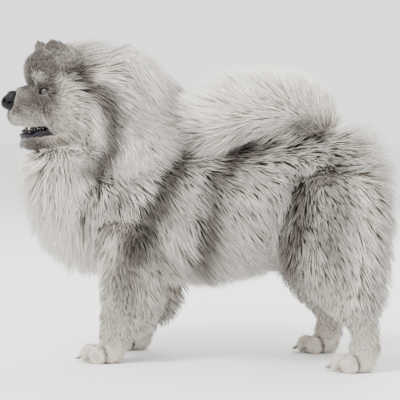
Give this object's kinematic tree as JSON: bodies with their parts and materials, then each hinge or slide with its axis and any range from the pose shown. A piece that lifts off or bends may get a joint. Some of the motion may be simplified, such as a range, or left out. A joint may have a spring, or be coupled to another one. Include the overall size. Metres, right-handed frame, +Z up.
{
  "type": "chow chow",
  "caption": "Life-size standing chow chow with a full ruff, head turned to its left and tail carried over its back.",
  "frame": {"origin": "on the floor, under the middle of the dog's outline", "axes": "-X towards the dog's face, -Y towards its left side, +Z up"},
  "size_m": [0.7552, 0.3318, 0.6107],
  "materials": {
    "eye": "wet, dark brown, nearly black",
    "nose_leather": "moist, pebbled black leather",
    "tongue": "wet, blue-black",
    "tooth": "smooth ivory enamel",
    "face_coat": "short, dense, grey-shaded cream fur",
    "foot_coat": "short, dense cream fur",
    "ruff_coat": "long, straight, off-standing pale cream fur",
    "body_coat": "long, dense cream fur over a grey undercoat"
  },
  "bodies": {
    "root": {"eye_left": "eye", "eye_right": "eye", "nose": "nose_leather", "head": "face_coat", "teeth_lower": "tooth", "tongue": "tongue", "jaw": "face_coat", "ear_left": "face_coat", "ear_right": "face_coat", "neck": "ruff_coat", "chest": "ruff_coat", "torso": "body_coat", "tail_root": "ruff_coat", "tail_plume": "ruff_coat", "paw_fore_left": "foot_coat", "paw_hind_left": "foot_coat", "leg_fore_left": "body_coat", "thigh_left": "body_coat", "shank_left": "body_coat", "paw_fore_right": "foot_coat", "paw_hind_right": "foot_coat", "leg_fore_right": "body_coat", "thigh_right": "body_coat", "shank_right": "body_coat"}
  },
  "joints": []
}
